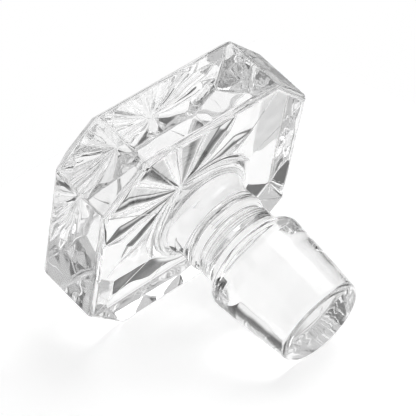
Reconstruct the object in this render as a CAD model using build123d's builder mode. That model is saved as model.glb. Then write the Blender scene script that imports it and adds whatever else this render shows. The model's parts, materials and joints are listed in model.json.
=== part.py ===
from build123d import *
from math import asin, atan2, cos, degrees, hypot, radians, sin, sqrt, tan
import os

# A clear cut-glass decanter stopper lying on its side on a table, in millimetres.
# It is one piece of glass, divided here into its working zones, which meet face to face:
# the octagonal head, the collar that the fingers grip, the round shoulder that closes the
# decanter's mouth, and the tapered plug that fits its neck.
# w runs along the stopper's axis towards the plug's end and is 0 where the head's bevel meets
# its side walls, u runs level across the head, and v runs up across the head.

# Head
HEAD_WIDTH = 54.0  # along u
HEAD_HEIGHT = 51.5  # along v
CORNER_CUT = 9.75  # the 45 degree corners of the octagon
HEAD_THICKNESS = 15.1  # of the side walls
RIDGE_ROUND = 1.1  # on the eight edges along the axis
FACE_ROUND = 1.2  # round the inner face

# Outer face: a bevel rises to a slightly dished table
BEVEL_SLOPE = 33.0  # in degrees from the table
BEVEL_ROUND = 1.6  # between the walls and the bevel
TABLE_RISE = 4.0
TABLE_ROUND = 1.5  # between the bevel and the table
ROUND_STEPS = 5  # flat facets across each of these two rounds
DISH_DEPTH = 1.8
TABLE_INSET = TABLE_RISE / tan(radians(BEVEL_SLOPE))
DISH_RADIUS = HEAD_HEIGHT / 2 - TABLE_INSET

# Star cut into the dish: leaf-shaped rays with rounded floors
STAR_RAYS = 12
STAR_RADIUS = 20.5
RAY_WIDEST_AT = 0.75  # as a share of the star's radius
RAY_HALF_WIDTH = 2.6  # at its widest
RAY_CORE = 0.14  # width at the star's centre, as a share of the widest
RAY_DEPTH_SHARE = 0.5  # depth of a ray, as a share of half its width

# Neck and collar
NECK_RADIUS = 9.2
FLARE_RADIUS = 5.0  # where the neck spreads into the head
NECK_END = 21.4
BEAD_AT = 23.2
BEAD_RADIUS = 9.5
GROOVE_START = 24.1
GROOVE_AT = 25.0
GROOVE_RADIUS = 8.4
RING_START = 25.9
RING_RADIUS = 8.95
RING_PITCH = 0.53
RING_HEIGHT = 0.12
RING_COUNT = 3

# Shoulder, as (w, radius)
COLLAR_END = RING_START + RING_COUNT * RING_PITCH
SHOULDER_START = (29.1, 8.95)
SHOULDER_RISE = (30.9, 10.85)
SHOULDER_TURN = (31.79, 11.35)

# Plug
PLUG_START = 32.8
PLUG_RADIUS = 11.46  # at its start
PLUG_TAPER = 5.0  # half-angle, in degrees
PLUG_END = 51.4
PLUG_ROUND = 1.3  # round its end


def plug_radius_at(w):
    """Radius of the plug's tapered wall at a distance w along the axis."""
    return PLUG_RADIUS - (w - PLUG_START) * tan(radians(PLUG_TAPER))


# How it rests: on the rounded lower edge of the head's inner face and on the plug's rim.
# Each contact is the lowest point of a round with its centre at (w, v).
HEAD_CONTACT = (HEAD_THICKNESS - FACE_ROUND, FACE_ROUND - HEAD_HEIGHT / 2)
RIM_CENTRE_W = PLUG_END - PLUG_ROUND
RIM_CENTRE_R = plug_radius_at(RIM_CENTRE_W) - PLUG_ROUND / cos(radians(PLUG_TAPER))
RUN = RIM_CENTRE_W - HEAD_CONTACT[0]
RISE = -RIM_CENTRE_R - HEAD_CONTACT[1]
TILT = atan2(RISE, RUN) + asin((FACE_ROUND - PLUG_ROUND) / hypot(RISE, RUN))


def across(w, v):
    """World X of a point on the stopper's middle plane, before centring."""
    return w * cos(TILT) + v * sin(TILT)


def above(w, v):
    """World Z of a point on the stopper's middle plane, before it is set on the table."""
    return v * cos(TILT) - w * sin(TILT)


# The stopper reaches furthest back at the round of the table's lower edge.
TABLE_ROUND_W = TABLE_ROUND - TABLE_RISE
TABLE_ROUND_INSET = TABLE_INSET + TABLE_ROUND * tan(radians(BEVEL_SLOPE / 2))
TABLE_ROUND_V = TABLE_ROUND_INSET - HEAD_HEIGHT / 2
LOW_X = across(TABLE_ROUND_W, TABLE_ROUND_V) - TABLE_ROUND
HIGH_X = across(RIM_CENTRE_W, RIM_CENTRE_R) + PLUG_ROUND
AXIS_ORIGIN = Vector(-(LOW_X + HIGH_X) / 2, 0, FACE_ROUND - above(*HEAD_CONTACT))
ALONG_AXIS = Vector(cos(TILT), 0, -sin(TILT))

# Cross sections lie on FACE, with u and v as its directions; outlines to be turned about the
# axis lie on PROFILE, with w and the radius as its directions.
FACE = Plane(AXIS_ORIGIN, x_dir=(0, 1, 0), z_dir=ALONG_AXIS)
PROFILE = Plane(AXIS_ORIGIN, x_dir=ALONG_AXIS, z_dir=(0, -1, 0))
AXIS = Axis(AXIS_ORIGIN, ALONG_AXIS)


def head_outline(inset):
    """The head's octagon set in from its walls, with rounded corners."""
    with BuildSketch(mode=Mode.PRIVATE) as outline:
        Rectangle(HEAD_WIDTH - 2 * inset, HEAD_HEIGHT - 2 * inset)
        chamfer(outline.vertices(), CORNER_CUT - (2 - sqrt(2)) * inset)
        fillet(outline.vertices(), RIDGE_ROUND)
    return outline.sketch


def bevel_profile():
    """(inset, w) of the head's sections, from the table over the bevel to the side walls."""
    slope, turn = radians(BEVEL_SLOPE), radians(90 - BEVEL_SLOPE)
    points = []
    for step in range(ROUND_STEPS + 1):
        t = slope * step / ROUND_STEPS
        inset = TABLE_ROUND_INSET - TABLE_ROUND * sin(t)
        points.append((inset, TABLE_ROUND_W - TABLE_ROUND * cos(t)))
    for step in range(ROUND_STEPS + 1):
        t = turn * (1 - step / ROUND_STEPS)
        points.append((BEVEL_ROUND * (1 - cos(t)), WALL_START - BEVEL_ROUND * sin(t)))
    return points


def dish_depth(radius):
    """How far the dish lies below the table at a distance from the axis."""
    share = min(radius / DISH_RADIUS, 1.0)
    return DISH_DEPTH * (1 - share**2) ** 2


def ray_plane(angle, radius):
    """Plane across a ray, at the table's level and a distance from the axis; y is outward."""
    outward = FACE.x_dir * cos(angle) + FACE.y_dir * sin(angle)
    middle = AXIS_ORIGIN - ALONG_AXIS * TABLE_RISE + outward * radius
    return Plane(middle, x_dir=outward.cross(ALONG_AXIS), z_dir=outward)


# Star cutter: one leaf-shaped groove for each ray, following the dish
CUTTER_TOP = 1.0  # above the table
RAY_STATIONS = (  # share of the star's radius, and share of the widest half width
    (0.0, RAY_CORE),
    (RAY_WIDEST_AT / 2, (1 + RAY_CORE) / 2),
    (RAY_WIDEST_AT, 1.0),
    (1.0, 0.02),
)
with BuildPart() as star_cutter:
    for ray in range(STAR_RAYS):
        ray_angle = radians(360 / STAR_RAYS * (ray + 0.5))
        with BuildPart() as groove:
            for share, width in RAY_STATIONS:
                radius = STAR_RADIUS * share
                half_width = RAY_HALF_WIDTH * width
                rim = -dish_depth(radius)
                deepest = rim - RAY_DEPTH_SHARE * half_width
                with BuildSketch(ray_plane(ray_angle, radius)):
                    with BuildLine():
                        ThreePointArc((-half_width, rim), (0, deepest), (half_width, rim))
                        Polyline(
                            (half_width, rim),
                            (half_width, CUTTER_TOP),
                            (-half_width, CUTTER_TOP),
                            (-half_width, rim),
                        )
                    make_face()
            loft(ruled=True)
        add(groove.part)

# Head: walls, then the bevel and the dished table, then the start of the neck
WALL_START = BEVEL_ROUND * tan(radians((90 - BEVEL_SLOPE) / 2))
with BuildPart() as head:
    walls = head_outline(0)
    with BuildSketch(FACE.offset(WALL_START)):
        add(walls)
    extrude(amount=HEAD_THICKNESS - WALL_START)
    fillet(head.faces().sort_by(AXIS)[-1].edges(), FACE_ROUND)
    for inset, w in bevel_profile():
        outline = head_outline(inset)
        with BuildSketch(FACE.offset(w)):
            add(outline)
    loft(ruled=True)
    with BuildSketch(PROFILE):
        with BuildLine():
            Bezier(
                (DISH_DEPTH - TABLE_RISE, 0),
                (DISH_DEPTH - TABLE_RISE, DISH_RADIUS / 2),
                (-TABLE_RISE, 0.61 * DISH_RADIUS),
                (-TABLE_RISE, DISH_RADIUS),
            )
            Polyline(
                (-TABLE_RISE, DISH_RADIUS),
                (-TABLE_RISE - CUTTER_TOP, DISH_RADIUS),
                (-TABLE_RISE - CUTTER_TOP, 0),
                (DISH_DEPTH - TABLE_RISE, 0),
            )
        make_face()
    revolve(axis=AXIS, mode=Mode.SUBTRACT)
    add(star_cutter.part, mode=Mode.SUBTRACT)
    with BuildSketch(FACE.offset(HEAD_THICKNESS)):
        Circle(NECK_RADIUS)
    extrude(amount=NECK_END - HEAD_THICKNESS)
    foot = head.edges().filter_by(GeomType.CIRCLE).group_by(AXIS)[-2]
    fillet(foot.filter_by(lambda edge: abs(edge.radius - NECK_RADIUS) < 0.01), FLARE_RADIUS)
head.part.label = "stopper_head"

# Collar: a low bead, a groove and fine turned rings
with BuildPart() as collar:
    with BuildSketch(PROFILE):
        with BuildLine():
            bead = ThreePointArc(
                (NECK_END, NECK_RADIUS), (BEAD_AT, BEAD_RADIUS), (GROOVE_START, NECK_RADIUS)
            )
            ThreePointArc(bead @ 1, (GROOVE_AT, GROOVE_RADIUS), (RING_START, RING_RADIUS))
            for ring in range(RING_COUNT):
                ring_at = RING_START + ring * RING_PITCH
                ThreePointArc(
                    (ring_at, RING_RADIUS),
                    (ring_at + RING_PITCH / 2, RING_RADIUS + RING_HEIGHT),
                    (ring_at + RING_PITCH, RING_RADIUS),
                )
            Polyline(
                (COLLAR_END, RING_RADIUS), (COLLAR_END, 0), (NECK_END, 0), bead @ 0
            )
        make_face()
    revolve(axis=AXIS)
collar.part.label = "stopper_collar"

# Shoulder: spreads from the collar and turns over softly to the plug
with BuildPart() as shoulder:
    with BuildSketch(PROFILE):
        with BuildLine():
            neck = Line((COLLAR_END, RING_RADIUS), SHOULDER_START)
            flank = Line(neck @ 1, SHOULDER_RISE)
            turn = ThreePointArc(flank @ 1, SHOULDER_TURN, (PLUG_START, PLUG_RADIUS))
            Polyline(turn @ 1, (PLUG_START, 0), (COLLAR_END, 0), neck @ 0)
        make_face()
    revolve(axis=AXIS)
shoulder.part.label = "stopper_shoulder"

# Plug: solid, tapered to fit a decanter's neck
with BuildPart() as plug:
    with BuildSketch(PROFILE) as wall:
        with BuildLine():
            Polyline(
                (PLUG_START, 0),
                (PLUG_START, PLUG_RADIUS),
                (PLUG_END, plug_radius_at(PLUG_END)),
                (PLUG_END, 0),
                close=True,
            )
        make_face()
    revolve(axis=AXIS)
    fillet(plug.faces().sort_by(AXIS)[-1].edges(), PLUG_ROUND)
plug.part.label = "stopper_plug"

os.makedirs("parts", exist_ok=True)
for zone in (head, collar, shoulder, plug):
    export_step(zone.part, f"parts/{zone.part.label}.step")
print(f"tilt {degrees(TILT):.6f} degrees, axis starts at {AXIS_ORIGIN}")
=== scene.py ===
import json
import math

import bpy
import numpy as np
from mathutils import Matrix, Vector


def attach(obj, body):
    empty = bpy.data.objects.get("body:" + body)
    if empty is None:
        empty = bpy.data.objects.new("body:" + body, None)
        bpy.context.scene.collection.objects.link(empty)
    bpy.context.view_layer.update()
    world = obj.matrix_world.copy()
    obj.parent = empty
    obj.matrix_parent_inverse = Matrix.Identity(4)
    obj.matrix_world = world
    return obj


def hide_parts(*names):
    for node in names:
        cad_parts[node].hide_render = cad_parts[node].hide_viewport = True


# A clear cut-glass decanter stopper on its side on a white table.
# The four CAD nodes are zones of one piece of glass, so one continuous mesh stands for them:
# glass solids that only touched would show their joints.
#
# Sizes of the glass are the CAD model's, in metres. w runs along the stopper's axis towards the
# plug's end and is 0 where the head's bevel meets its side walls, u runs level across the head,
# and v runs up across the head.

MM = 0.001

# Head
HEAD_WIDTH = 54.0 * MM
HEAD_HEIGHT = 51.5 * MM
CORNER_CUT = 9.75 * MM
HEAD_THICKNESS = 15.1 * MM
RIDGE_ROUND = 1.1 * MM
FACE_ROUND = 1.2 * MM
OCTAGON_TURN = math.radians(45)  # from each side to the next

# Outer face: a bevel rises to a dished table
BEVEL_SLOPE = math.radians(33)
BEVEL_ROUND = 1.6 * MM
BEVEL_START = BEVEL_ROUND * math.tan((math.pi / 2 - BEVEL_SLOPE) / 2)
TABLE_AT = -4.0 * MM
TABLE_ROUND = 1.5 * MM
DISH_DEPTH = 1.8 * MM
DISH_RADIUS = HEAD_HEIGHT / 2 + TABLE_AT / math.tan(BEVEL_SLOPE)

# Star cut into the dish: leaf-shaped rays with rounded floors
STAR_RAYS = 12
STAR_RADIUS = 20.5 * MM
STAR_WIDEST_AT = 0.75  # as a share of the star's radius
STAR_HALF_WIDTH = 2.6 * MM  # of a ray, at its widest
STAR_CORE = 0.14  # width at the star's centre, as a share of the widest
STAR_TIP = 0.02  # least width, as a share of the widest
STAR_DEPTH_SHARE = 0.5  # depth of a ray, as a share of half its width
STAR_SOFTNESS = 0.08 * MM  # of the rays' edges

# Neck and collar
NECK_RADIUS = 9.2 * MM
FLARE_RADIUS = 5.0 * MM
NECK_END = 21.4 * MM
BEAD_AT = 23.2 * MM
BEAD_RADIUS = 9.5 * MM
GROOVE_START = 24.1 * MM
GROOVE_AT = 25.0 * MM
GROOVE_RADIUS = 8.4 * MM
RING_START = 25.9 * MM
RING_RADIUS = 8.95 * MM
RING_PITCH = 0.53 * MM
RING_HEIGHT = 0.12 * MM
RING_COUNT = 3

# Shoulder, as (w, radius), and plug
SHOULDER_START = (29.1 * MM, 8.95 * MM)
SHOULDER_RISE = (30.9 * MM, 10.85 * MM)
SHOULDER_TURN = (31.79 * MM, 11.35 * MM)
PLUG_START = 32.8 * MM
PLUG_RADIUS = 11.46 * MM
PLUG_TAPER = math.radians(5.0)
PLUG_END = 51.4 * MM
PLUG_ROUND = 1.3 * MM

# Mesh resolution
CREASE = 0.12 * MM  # short faces beside each bend, so that flat ones shade flat
LONGEST_CREASE = 0.3  # as a share of its line
SIDE_STEP = 0.32 * MM  # along the head's sides
RIDGE_STEPS = 6  # round each ridge
STAR_STEPS = 80  # from the star's centre outwards
TABLE_ROUND_STEPS = 6
BEVEL_ROUND_STEPS = 8
BEVEL_STEPS = 4
WALL_ROWS = 5
FACE_ROUND_STEPS = 6
FACE_ROWS = (0.01, 0.5, 0.97, 1.0)  # over the inner face, from its edge to the flare's foot
FACE_END = 1.02  # where the inner face's last row is, as a share of the foot's radius
AROUND_STEPS = 200  # round the neck and the plug
FLARE_STEPS = 16
BEAD_STEPS = 12
GROOVE_STEPS = 10
RING_STEPS = 6
SHOULDER_STEPS = 16
PLUG_ROUND_STEPS = 11
PLUG_MIDDLE = 1.0 * MM  # radius of the last row on the plug's end

# Glass
GLASS_COLOUR = (0.99, 0.99, 0.99, 1.0)
GLASS_IOR = 1.52
ABSORPTION_COLOUR = (0.5, 0.5, 0.5, 1.0)
ABSORPTION_DENSITY = 3.5  # per metre
RIPPLE_SCALE = 120.0  # waves per metre
RIPPLE_HEIGHT = 0.22 * MM

# White table
FLOOR_HALF_SIDE = 80.0 * MM
FLOOR_COLOUR = (0.95, 0.95, 0.95, 1.0)
FLOOR_ROUGHNESS = 0.9
FLOOR_GLOW = 0.36
WHITE = (1.0, 1.0, 1.0, 1.0)

# Studio light: what surrounds the glass, as (azimuth, elevation, half width, half height) in
# degrees, softness of the edge, and radiance. Azimuth runs from +X towards +Y.
# Later ones cover earlier ones.
EVEN_LIGHT = 0.56
LIGHT_PATCHES = (
    (144.0, -89.0, 89.0, 89.0, 0.01, 0.03),
    (165.0, 8.0, 45.0, 14.0, 0.08, 0.95),
    (75.0, 15.0, 45.0, 20.0, 0.08, 0.02),
    (247.0, 15.0, 22.0, 20.0, 0.08, 0.02),
    (180.0, 27.0, 30.0, 8.0, 0.06, 0.1),
    (320.0, 0.0, 40.0, 10.0, 0.06, 0.02),
    (285.0, 15.0, 13.0, 17.0, 0.06, 1.3),
    (337.0, 37.0, 22.0, 20.0, 0.06, 1.1),
    (292.0, 50.0, 14.0, 10.0, 0.06, 0.1),
    (80.0, 57.0, 17.0, 19.0, 0.05, 2.5),
)
NEARLY_ACROSS = 0.001  # least cosine to a patch's middle, so that nothing is divided by 0

# What lies past the floor's edge: white when seen from steeply above, dark towards the horizon
GROUND_LIGHT = 0.95
GROUND_WHITE_BELOW = math.radians(-32)
GROUND_DARK_ABOVE = math.radians(-12)

# Camera: a long lens, looking down past the plug at the head's inner face. Lengths are in mm.
CAMERA_SENSOR = 36.0
CAMERA_LENS = 197.45
CAMERA_AZIMUTH = math.radians(53.953)  # from -Y towards +X
CAMERA_ELEVATION = math.radians(32.767)
CAMERA_ROLL = math.radians(10.206)
CAMERA_DISTANCE = 454.9
CAMERA_AIM = (19.057, -1.76, -2.999)  # from w = 0 on the stopper's axis


def arc(start, middle, end, steps):
    """Points along the circle through three points, without the first one."""
    (ax, ay), (bx, by), (cx, cy) = start, middle, end
    d = 2 * (ax * (by - cy) + bx * (cy - ay) + cx * (ay - by))
    a2, b2, c2 = ax * ax + ay * ay, bx * bx + by * by, cx * cx + cy * cy
    ox = (a2 * (by - cy) + b2 * (cy - ay) + c2 * (ay - by)) / d
    oy = (a2 * (cx - bx) + b2 * (ax - cx) + c2 * (bx - ax)) / d
    radius = math.hypot(ax - ox, ay - oy)
    first = math.atan2(ay - oy, ax - ox)
    turn = (math.atan2(cy - oy, cx - ox) - first + math.pi) % (2 * math.pi) - math.pi
    angles = [first + turn * i / steps for i in range(1, steps + 1)]
    return [(ox + radius * math.cos(t), oy + radius * math.sin(t)) for t in angles]


def line(start, end, steps):
    """Points along a straight line, without the first one, with a short face at each end."""
    short = min(CREASE / math.dist(start, end), LONGEST_CREASE)
    shares = [short, *np.linspace(short, 1 - short, steps + 1)[1:], 1]
    return [tuple(a + (b - a) * share for a, b in zip(start, end)) for share in shares]


def octagon_sides():
    """The head's eight sides, each as an outward normal and its distance from the axis."""
    half_u, half_v = HEAD_WIDTH / 2, HEAD_HEIGHT / 2
    diagonal = (half_u + half_v - CORNER_CUT) / math.sqrt(2)
    angles = [OCTAGON_TURN * i for i in range(8)]
    distances = [half_u, diagonal, half_v, diagonal] * 2
    return [(np.array([math.cos(t), math.sin(t)]), d) for t, d in zip(angles, distances)]


def head_outline(inset):
    """Points and outward normals round the head, set in from its sides, its ridges rounded."""
    sides = octagon_sides()
    reach = RIDGE_ROUND + inset
    corners = [
        np.linalg.solve(np.array([n1, n2]), [d1 - reach, d2 - reach])
        for (n1, d1), (n2, d2) in zip(sides, sides[1:] + sides[:1])
    ]
    points, normals = [], []
    for i, (normal, distance) in enumerate(sides):
        start, end = corners[i - 1], corners[i]
        # as many steps as on a regular octagon's side, so that every inset has the same number
        steps = round(2 * distance * math.tan(OCTAGON_TURN / 2) / SIDE_STEP)
        for k in range(steps):
            points.append(start + (end - start) * k / steps + normal * RIDGE_ROUND)
            normals.append(normal)
        for k in range(RIDGE_STEPS):
            t = OCTAGON_TURN * (i + k / RIDGE_STEPS)
            outward = np.array([math.cos(t), math.sin(t)])
            points.append(end + outward * RIDGE_ROUND)
            normals.append(outward)
    return np.array(points), np.array(normals)


def bevel_profile():
    """(inset, w) from the end of the head's walls over the bevel to the raised table."""
    points = [
        (BEVEL_ROUND * (1 - math.cos(t)), BEVEL_START - BEVEL_ROUND * math.sin(t))
        for t in np.linspace(0, math.pi / 2 - BEVEL_SLOPE, BEVEL_ROUND_STEPS + 1)
    ]
    inset, w = points[-1]
    low_w = TABLE_AT + TABLE_ROUND * (1 - math.cos(BEVEL_SLOPE))
    low_inset = inset + (w - low_w) / math.tan(BEVEL_SLOPE)
    centre = low_inset + TABLE_ROUND * math.sin(BEVEL_SLOPE)
    points += line(points[-1], (low_inset, low_w), BEVEL_STEPS)
    points += [
        (centre - TABLE_ROUND * math.sin(t), TABLE_AT + TABLE_ROUND * (1 - math.cos(t)))
        for t in np.linspace(BEVEL_SLOPE, 0, TABLE_ROUND_STEPS + 1)[1:]
    ]
    return points


def star_depth(x, y):
    """How deep the star is cut below the dish: leaf-shaped rays with rounded floors."""
    r, t = np.hypot(x, y), np.arctan2(y, x)
    step = 2 * math.pi / STAR_RAYS
    off = (t + 2 * math.pi) % step - step / 2
    along, aside = r * np.cos(off) / STAR_RADIUS, r * np.sin(off)
    opening = STAR_CORE + (1 - STAR_CORE) * along / STAR_WIDEST_AT
    closing = (1 - along) / (1 - STAR_WIDEST_AT)
    half_width = STAR_HALF_WIDTH * np.maximum(np.minimum(opening, closing), STAR_TIP)
    depth = STAR_DEPTH_SHARE * half_width * (1 - (aside / half_width) ** 2)
    return 0.5 * (depth + np.sqrt(depth**2 + STAR_SOFTNESS**2))


def table_level(xy):
    """w of the table, with its dish and its star, at points across the head."""
    reach = np.minimum(np.linalg.norm(xy, axis=1) / DISH_RADIUS, 1.0)
    dish = DISH_DEPTH * (1 - reach**2) ** 2
    return TABLE_AT + dish + star_depth(xy[:, 0], xy[:, 1])


def plug_radius_at(w):
    """Radius of the plug's tapered wall at a distance w along the axis."""
    return PLUG_RADIUS - (w - PLUG_START) * math.tan(PLUG_TAPER)


def collar_profile():
    """(w, radius) from the flare's foot on the head to the last fine ring."""
    foot = (HEAD_THICKNESS, NECK_RADIUS + FLARE_RADIUS)
    neck = (HEAD_THICKNESS + FLARE_RADIUS, NECK_RADIUS)
    sag = FLARE_RADIUS * (1 - math.sqrt(0.5))
    points = [foot]
    points += arc(foot, (HEAD_THICKNESS + sag, NECK_RADIUS + sag), neck, FLARE_STEPS)
    points += line(points[-1], (NECK_END, NECK_RADIUS), steps=1)
    points += arc(points[-1], (BEAD_AT, BEAD_RADIUS), (GROOVE_START, NECK_RADIUS), BEAD_STEPS)
    ring_foot = (RING_START, RING_RADIUS)
    points += arc(points[-1], (GROOVE_AT, GROOVE_RADIUS), ring_foot, GROOVE_STEPS)
    for ring in range(RING_COUNT):
        w = RING_START + ring * RING_PITCH
        top = (w + RING_PITCH / 2, RING_RADIUS + RING_HEIGHT)
        points += arc(points[-1], top, (w + RING_PITCH, RING_RADIUS), RING_STEPS)
    return points


def stem_profile():
    """(w, radius) from the flare's foot on the head to the plug's flat end."""
    points = collar_profile()
    points += line(points[-1], SHOULDER_START, steps=1)
    points += line(points[-1], SHOULDER_RISE, steps=2)
    points += arc(points[-1], SHOULDER_TURN, (PLUG_START, PLUG_RADIUS), SHOULDER_STEPS)
    rim_w = PLUG_END - PLUG_ROUND
    rim_r = plug_radius_at(rim_w) - PLUG_ROUND / math.cos(PLUG_TAPER)
    rim = [
        (rim_w + PLUG_ROUND * math.sin(t), rim_r + PLUG_ROUND * math.cos(t))
        for t in np.linspace(PLUG_TAPER, math.pi / 2, PLUG_ROUND_STEPS + 1)
    ]
    points += line(points[-1], rim[0], steps=4)
    points += rim[1:]
    points += line(points[-1], (PLUG_END, PLUG_MIDDLE), steps=3)
    return points


def level_row(xy, w):
    """Points at (u, v) given by xy and at w, which is one value or one for each point."""
    return np.column_stack([xy, np.broadcast_to(w, len(xy))])


def head_rows():
    """Closed rows of points from the star outwards, and over the walls to the flare's foot."""
    bevel = bevel_profile()
    table, _ = head_outline(bevel[-1][0])
    table_edge = 1 - CREASE / (HEAD_HEIGHT / 2)
    shares = [*np.arange(1, STAR_STEPS) / STAR_STEPS, table_edge, 1]
    rows = [level_row(table * share, table_level(table * share)) for share in shares]
    rows += [level_row(head_outline(inset)[0], w) for inset, w in reversed(bevel[:-1])]
    walls, normals = head_outline(0)
    wall_start, wall_end = BEVEL_START + CREASE, HEAD_THICKNESS - FACE_ROUND - CREASE
    rows += [level_row(walls, w) for w in np.linspace(wall_start, wall_end, WALL_ROWS)]
    for t in np.linspace(0, math.pi / 2, FACE_ROUND_STEPS + 1):
        w = HEAD_THICKNESS - FACE_ROUND * (1 - math.sin(t))
        rows.append(level_row(walls - normals * FACE_ROUND * (1 - math.cos(t)), w))
    edge = walls - normals * FACE_ROUND
    foot_radius = (NECK_RADIUS + FLARE_RADIUS) * FACE_END
    circle = edge / np.linalg.norm(edge, axis=1)[:, None] * foot_radius
    for share in FACE_ROWS:
        rows.append(level_row(edge * (1 - share) + circle * share, HEAD_THICKNESS))
    return rows


def stem_rows(angles):
    """Closed rows of points at these angles, from the flare's foot to the plug's end."""
    directions = np.column_stack([np.cos(angles), np.sin(angles)])
    return [level_row(directions * radius, w) for w, radius in stem_profile()]


def numbered(rows):
    """The vertex numbers of each row. Number 0 is the star's centre."""
    numbers, first = [], 1
    for row in rows:
        numbers.append(range(first, first + len(row)))
        first += len(row)
    return numbers


def around(row):
    """Neighbouring pairs round a closed row of vertices."""
    return [(row[i], row[(i + 1) % len(row)]) for i in range(len(row))]


def bridge(rows):
    """Four-sided faces between closed rows with the same number of vertices."""
    return [
        (a, b, d, c)
        for inner, outer in zip(rows, rows[1:])
        for (a, b), (c, d) in zip(around(inner), around(outer))
    ]


def stitch(fine, fine_angles, coarse, coarse_angles):
    """Triangles between two closed rows with different numbers of vertices."""
    faces, i, j = [], 0, 0
    n, m = len(fine), len(coarse)
    fine_angles = np.append(fine_angles, fine_angles[0] + 2 * math.pi)
    coarse_angles = np.append(coarse_angles, coarse_angles[0] + 2 * math.pi)
    while i < n or j < m:
        if j == m or (i < n and fine_angles[i + 1] <= coarse_angles[j + 1]):
            faces.append((fine[i % n], fine[(i + 1) % n], coarse[j % m]))
            i += 1
        else:
            faces.append((fine[i % n], coarse[(j + 1) % m], coarse[j % m]))
            j += 1
    return faces


def stopper_mesh(origin, axes):
    """The whole stopper as one closed surface, laid along its u, v and w axes."""
    head = head_rows()
    head_angles = np.unwrap(np.arctan2(head[-1][:, 1], head[-1][:, 0]))
    stem_angles = head_angles[0] + 2 * math.pi * np.arange(AROUND_STEPS) / AROUND_STEPS
    stem = stem_rows(stem_angles)
    star_centre = level_row(np.zeros((1, 2)), table_level(np.zeros((1, 2))))
    plug_centre = np.array([[0.0, 0.0, PLUG_END]])
    points = np.concatenate([star_centre, *head, *stem, plug_centre])

    numbers = numbered(head + stem)
    on_head, on_stem = numbers[: len(head)], numbers[len(head) :]
    faces = [(0, b, a) for a, b in around(on_head[0])]
    faces += bridge(on_head)
    faces += stitch(on_head[-1], head_angles, on_stem[0], stem_angles)
    faces += bridge(on_stem)
    faces += [(a, b, len(points) - 1) for a, b in around(on_stem[-1])]

    mesh = bpy.data.meshes.new("stopper_glass")
    mesh.from_pydata((origin + points @ axes).tolist(), [], faces)
    mesh.polygons.foreach_set("use_smooth", [True] * len(mesh.polygons))
    mesh.update()
    return mesh


def glass_material():
    """Clear polished crystal with the slow ripple of fire-polished glass."""
    material = bpy.data.materials.new("crystal")
    material.use_nodes = True
    nodes, links = material.node_tree.nodes, material.node_tree.links
    shader = nodes["Principled BSDF"]
    shader.inputs["Base Color"].default_value = GLASS_COLOUR
    shader.inputs["Roughness"].default_value = 0.0
    shader.inputs["IOR"].default_value = GLASS_IOR
    shader.inputs["Transmission Weight"].default_value = 1.0
    place = nodes.new("ShaderNodeTexCoord").outputs["Object"]
    ripple = nodes.new("ShaderNodeTexNoise")
    links.new(place, ripple.inputs["Vector"])
    ripple.inputs["Scale"].default_value = RIPPLE_SCALE
    ripple.inputs["Detail"].default_value = 1.0
    bump = nodes.new("ShaderNodeBump")
    bump.inputs["Strength"].default_value = 1.0
    bump.inputs["Distance"].default_value = RIPPLE_HEIGHT
    links.new(ripple.outputs["Fac"], bump.inputs["Height"])
    links.new(bump.outputs["Normal"], shader.inputs["Normal"])
    absorb = nodes.new("ShaderNodeVolumeAbsorption")
    absorb.inputs["Color"].default_value = ABSORPTION_COLOUR
    absorb.inputs["Density"].default_value = ABSORPTION_DENSITY
    links.new(absorb.outputs["Volume"], nodes["Material Output"].inputs["Volume"])
    return material


def floor_material():
    """Matt white, with a glow that keeps the table evenly bright."""
    material = bpy.data.materials.new("white_floor")
    material.use_nodes = True
    shader = material.node_tree.nodes["Principled BSDF"]
    shader.inputs["Base Color"].default_value = FLOOR_COLOUR
    shader.inputs["Roughness"].default_value = FLOOR_ROUGHNESS
    shader.inputs["Specular IOR Level"].default_value = 0.0
    shader.inputs["Emission Color"].default_value = WHITE
    shader.inputs["Emission Strength"].default_value = FLOOR_GLOW
    return material


def white_floor():
    """A square of the white table under the stopper."""
    mesh = bpy.data.meshes.new("floor")
    signs = [(-1, -1), (1, -1), (1, 1), (-1, 1)]
    corners = [(x * FLOOR_HALF_SIDE, y * FLOOR_HALF_SIDE, 0) for x, y in signs]
    mesh.from_pydata(corners, [], [(0, 1, 2, 3)])
    mesh.materials.append(floor_material())
    floor = bpy.data.objects.new("floor", mesh)
    bpy.context.scene.collection.objects.link(floor)


def camera(origin):
    """The camera, turned towards its aim and rolled about its line of sight."""
    aim = Vector(origin) + Vector(CAMERA_AIM) * MM
    across = math.cos(CAMERA_ELEVATION)
    back = Vector(
        (
            math.sin(CAMERA_AZIMUTH) * across,
            -math.cos(CAMERA_AZIMUTH) * across,
            math.sin(CAMERA_ELEVATION),
        )
    )
    data = bpy.data.cameras.new("camera")
    data.sensor_width = CAMERA_SENSOR
    data.lens = CAMERA_LENS
    data.clip_start, data.clip_end = 0.01, 10
    view = bpy.data.objects.new("camera", data)
    roll = Matrix.Rotation(-CAMERA_ROLL, 3, "Z").to_quaternion()
    view.rotation_mode = "QUATERNION"
    view.rotation_quaternion = (-back).to_track_quat("-Z", "Y") @ roll
    view.location = aim + back * CAMERA_DISTANCE * MM
    bpy.context.scene.collection.objects.link(view)
    bpy.context.scene.camera = view


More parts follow.
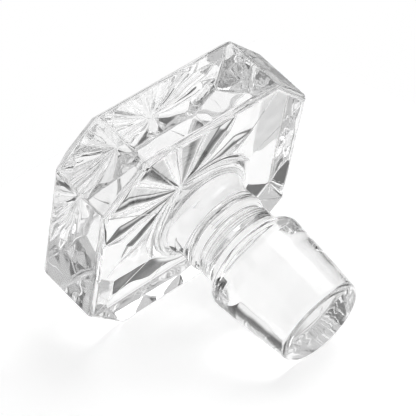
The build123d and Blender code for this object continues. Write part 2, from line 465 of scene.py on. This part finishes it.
class SkyNodes:
    """World nodes that work out the light from each direction."""

    def __init__(self, tree):
        self.tree = tree
        self.direction = tree.nodes.new("ShaderNodeTexCoord").outputs["Generated"]

    def value(self, operation, *inputs):
        """A sum, product or the like of numbers and of other nodes' outputs."""
        node = self.tree.nodes.new("ShaderNodeMath")
        node.operation = operation
        for socket, item in zip(node.inputs, inputs):
            if isinstance(item, float):
                socket.default_value = item
            else:
                self.tree.links.new(item, socket)
        return node.outputs[0]

    def along(self, axis):
        """Cosine of the angle between the direction and an axis."""
        node = self.tree.nodes.new("ShaderNodeVectorMath")
        node.operation = "DOT_PRODUCT"
        self.tree.links.new(self.direction, node.inputs[0])
        node.inputs[1].default_value = axis
        return node.outputs["Value"]

    def fade(self, item, none_at, full_at):
        """0 where the item is at none_at, rising smoothly to 1 where it is at full_at."""
        node = self.tree.nodes.new("ShaderNodeMapRange")
        node.interpolation_type = "SMOOTHSTEP"
        self.tree.links.new(item, node.inputs["Value"])
        node.inputs["From Min"].default_value = none_at
        node.inputs["From Max"].default_value = full_at
        return node.outputs["Result"]

    def band(self, across, ahead, half_angle, edge):
        """1 inside a band of directions, falling to 0 over its soft edge."""
        limit = math.tan(math.radians(half_angle))
        ahead = self.value("MAXIMUM", ahead, NEARLY_ACROSS)
        share = self.value("DIVIDE", self.value("ABSOLUTE", across), ahead)
        return self.fade(share, limit + edge, limit - edge)

    def patch(self, azimuth, elevation, half_width, half_height, edge):
        """1 inside a rectangle of directions, falling to 0 over its soft edges."""
        a, e = math.radians(azimuth), math.radians(elevation)
        ahead = self.along((math.cos(a) * math.cos(e), math.sin(a) * math.cos(e), math.sin(e)))
        side = self.along((-math.sin(a), math.cos(a), 0.0))
        rise = self.along((-math.cos(a) * math.sin(e), -math.sin(a) * math.sin(e), math.cos(e)))
        across = self.band(side, ahead, half_width, edge)
        upward = self.band(rise, ahead, half_height, edge)
        return self.value("MULTIPLY", across, upward)

    def cover(self, light, mask, radiance):
        """The light, with a radiance in its place where the mask is 1."""
        kept = self.value("MULTIPLY", self.value("SUBTRACT", 1.0, mask), light)
        return self.value("ADD", kept, self.value("MULTIPLY", mask, radiance))


def world_light():
    """Even studio light, with the soft boxes and dark cards that glass needs round it."""
    world = bpy.data.worlds.new("studio")
    bpy.context.scene.world = world
    world.use_nodes = True
    tree = world.node_tree
    background = tree.nodes["Background"]
    background.inputs["Color"].default_value = WHITE
    sky = SkyNodes(tree)
    light = EVEN_LIGHT
    for *place, radiance in LIGHT_PATCHES:
        light = sky.cover(light, sky.patch(*place), radiance)
    height = sky.along((0.0, 0.0, 1.0))
    ground = sky.fade(height, math.sin(GROUND_DARK_ABOVE), math.sin(GROUND_WHITE_BELOW))
    light = sky.cover(light, ground, GROUND_LIGHT)
    # the camera sees plain white behind the stopper
    seen = tree.nodes.new("ShaderNodeLightPath").outputs["Is Camera Ray"]
    light = sky.cover(light, seen, 1.0)
    tree.links.new(light, background.inputs["Strength"])


def render_settings():
    """Plain colours, and enough bounces for light to pass through cut glass."""
    scene = bpy.context.scene
    scene.view_settings.view_transform = "Standard"
    scene.cycles.use_denoising = True
    scene.cycles.max_bounces = 32
    scene.cycles.transmission_bounces = 32
    scene.cycles.glossy_bounces = 24
    scene.cycles.diffuse_bounces = 4
    scene.cycles.blur_glossy = 0.0
    scene.cycles.sample_clamp_indirect = 10.0


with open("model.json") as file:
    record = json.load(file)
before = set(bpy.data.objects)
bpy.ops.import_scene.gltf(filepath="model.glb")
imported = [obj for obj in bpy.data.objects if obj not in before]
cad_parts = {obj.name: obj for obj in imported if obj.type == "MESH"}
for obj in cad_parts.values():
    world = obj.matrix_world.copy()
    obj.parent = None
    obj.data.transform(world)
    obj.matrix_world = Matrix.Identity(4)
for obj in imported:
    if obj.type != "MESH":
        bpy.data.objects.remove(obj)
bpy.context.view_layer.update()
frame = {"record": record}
mounts = {mount["name"]: mount for mount in frame["record"]["mounts"]}
w_axis = np.array(mounts["plug_end"]["axis"])
w_axis /= np.linalg.norm(w_axis)
u_axis = np.array([0.0, 1.0, 0.0])
v_axis = np.cross(w_axis, u_axis)
origin = np.array(mounts["plug_end"]["pos_m"]) - w_axis * PLUG_END

glass = stopper_mesh(origin, np.array([u_axis, v_axis, w_axis]))
glass.materials.append(glass_material())
stopper = bpy.data.objects.new("stopper_glass", glass)
bpy.context.scene.collection.objects.link(stopper)
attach(stopper, "root")
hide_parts("stopper_head", "stopper_collar", "stopper_shoulder", "stopper_plug")

white_floor()
world_light()
camera(origin)
render_settings()
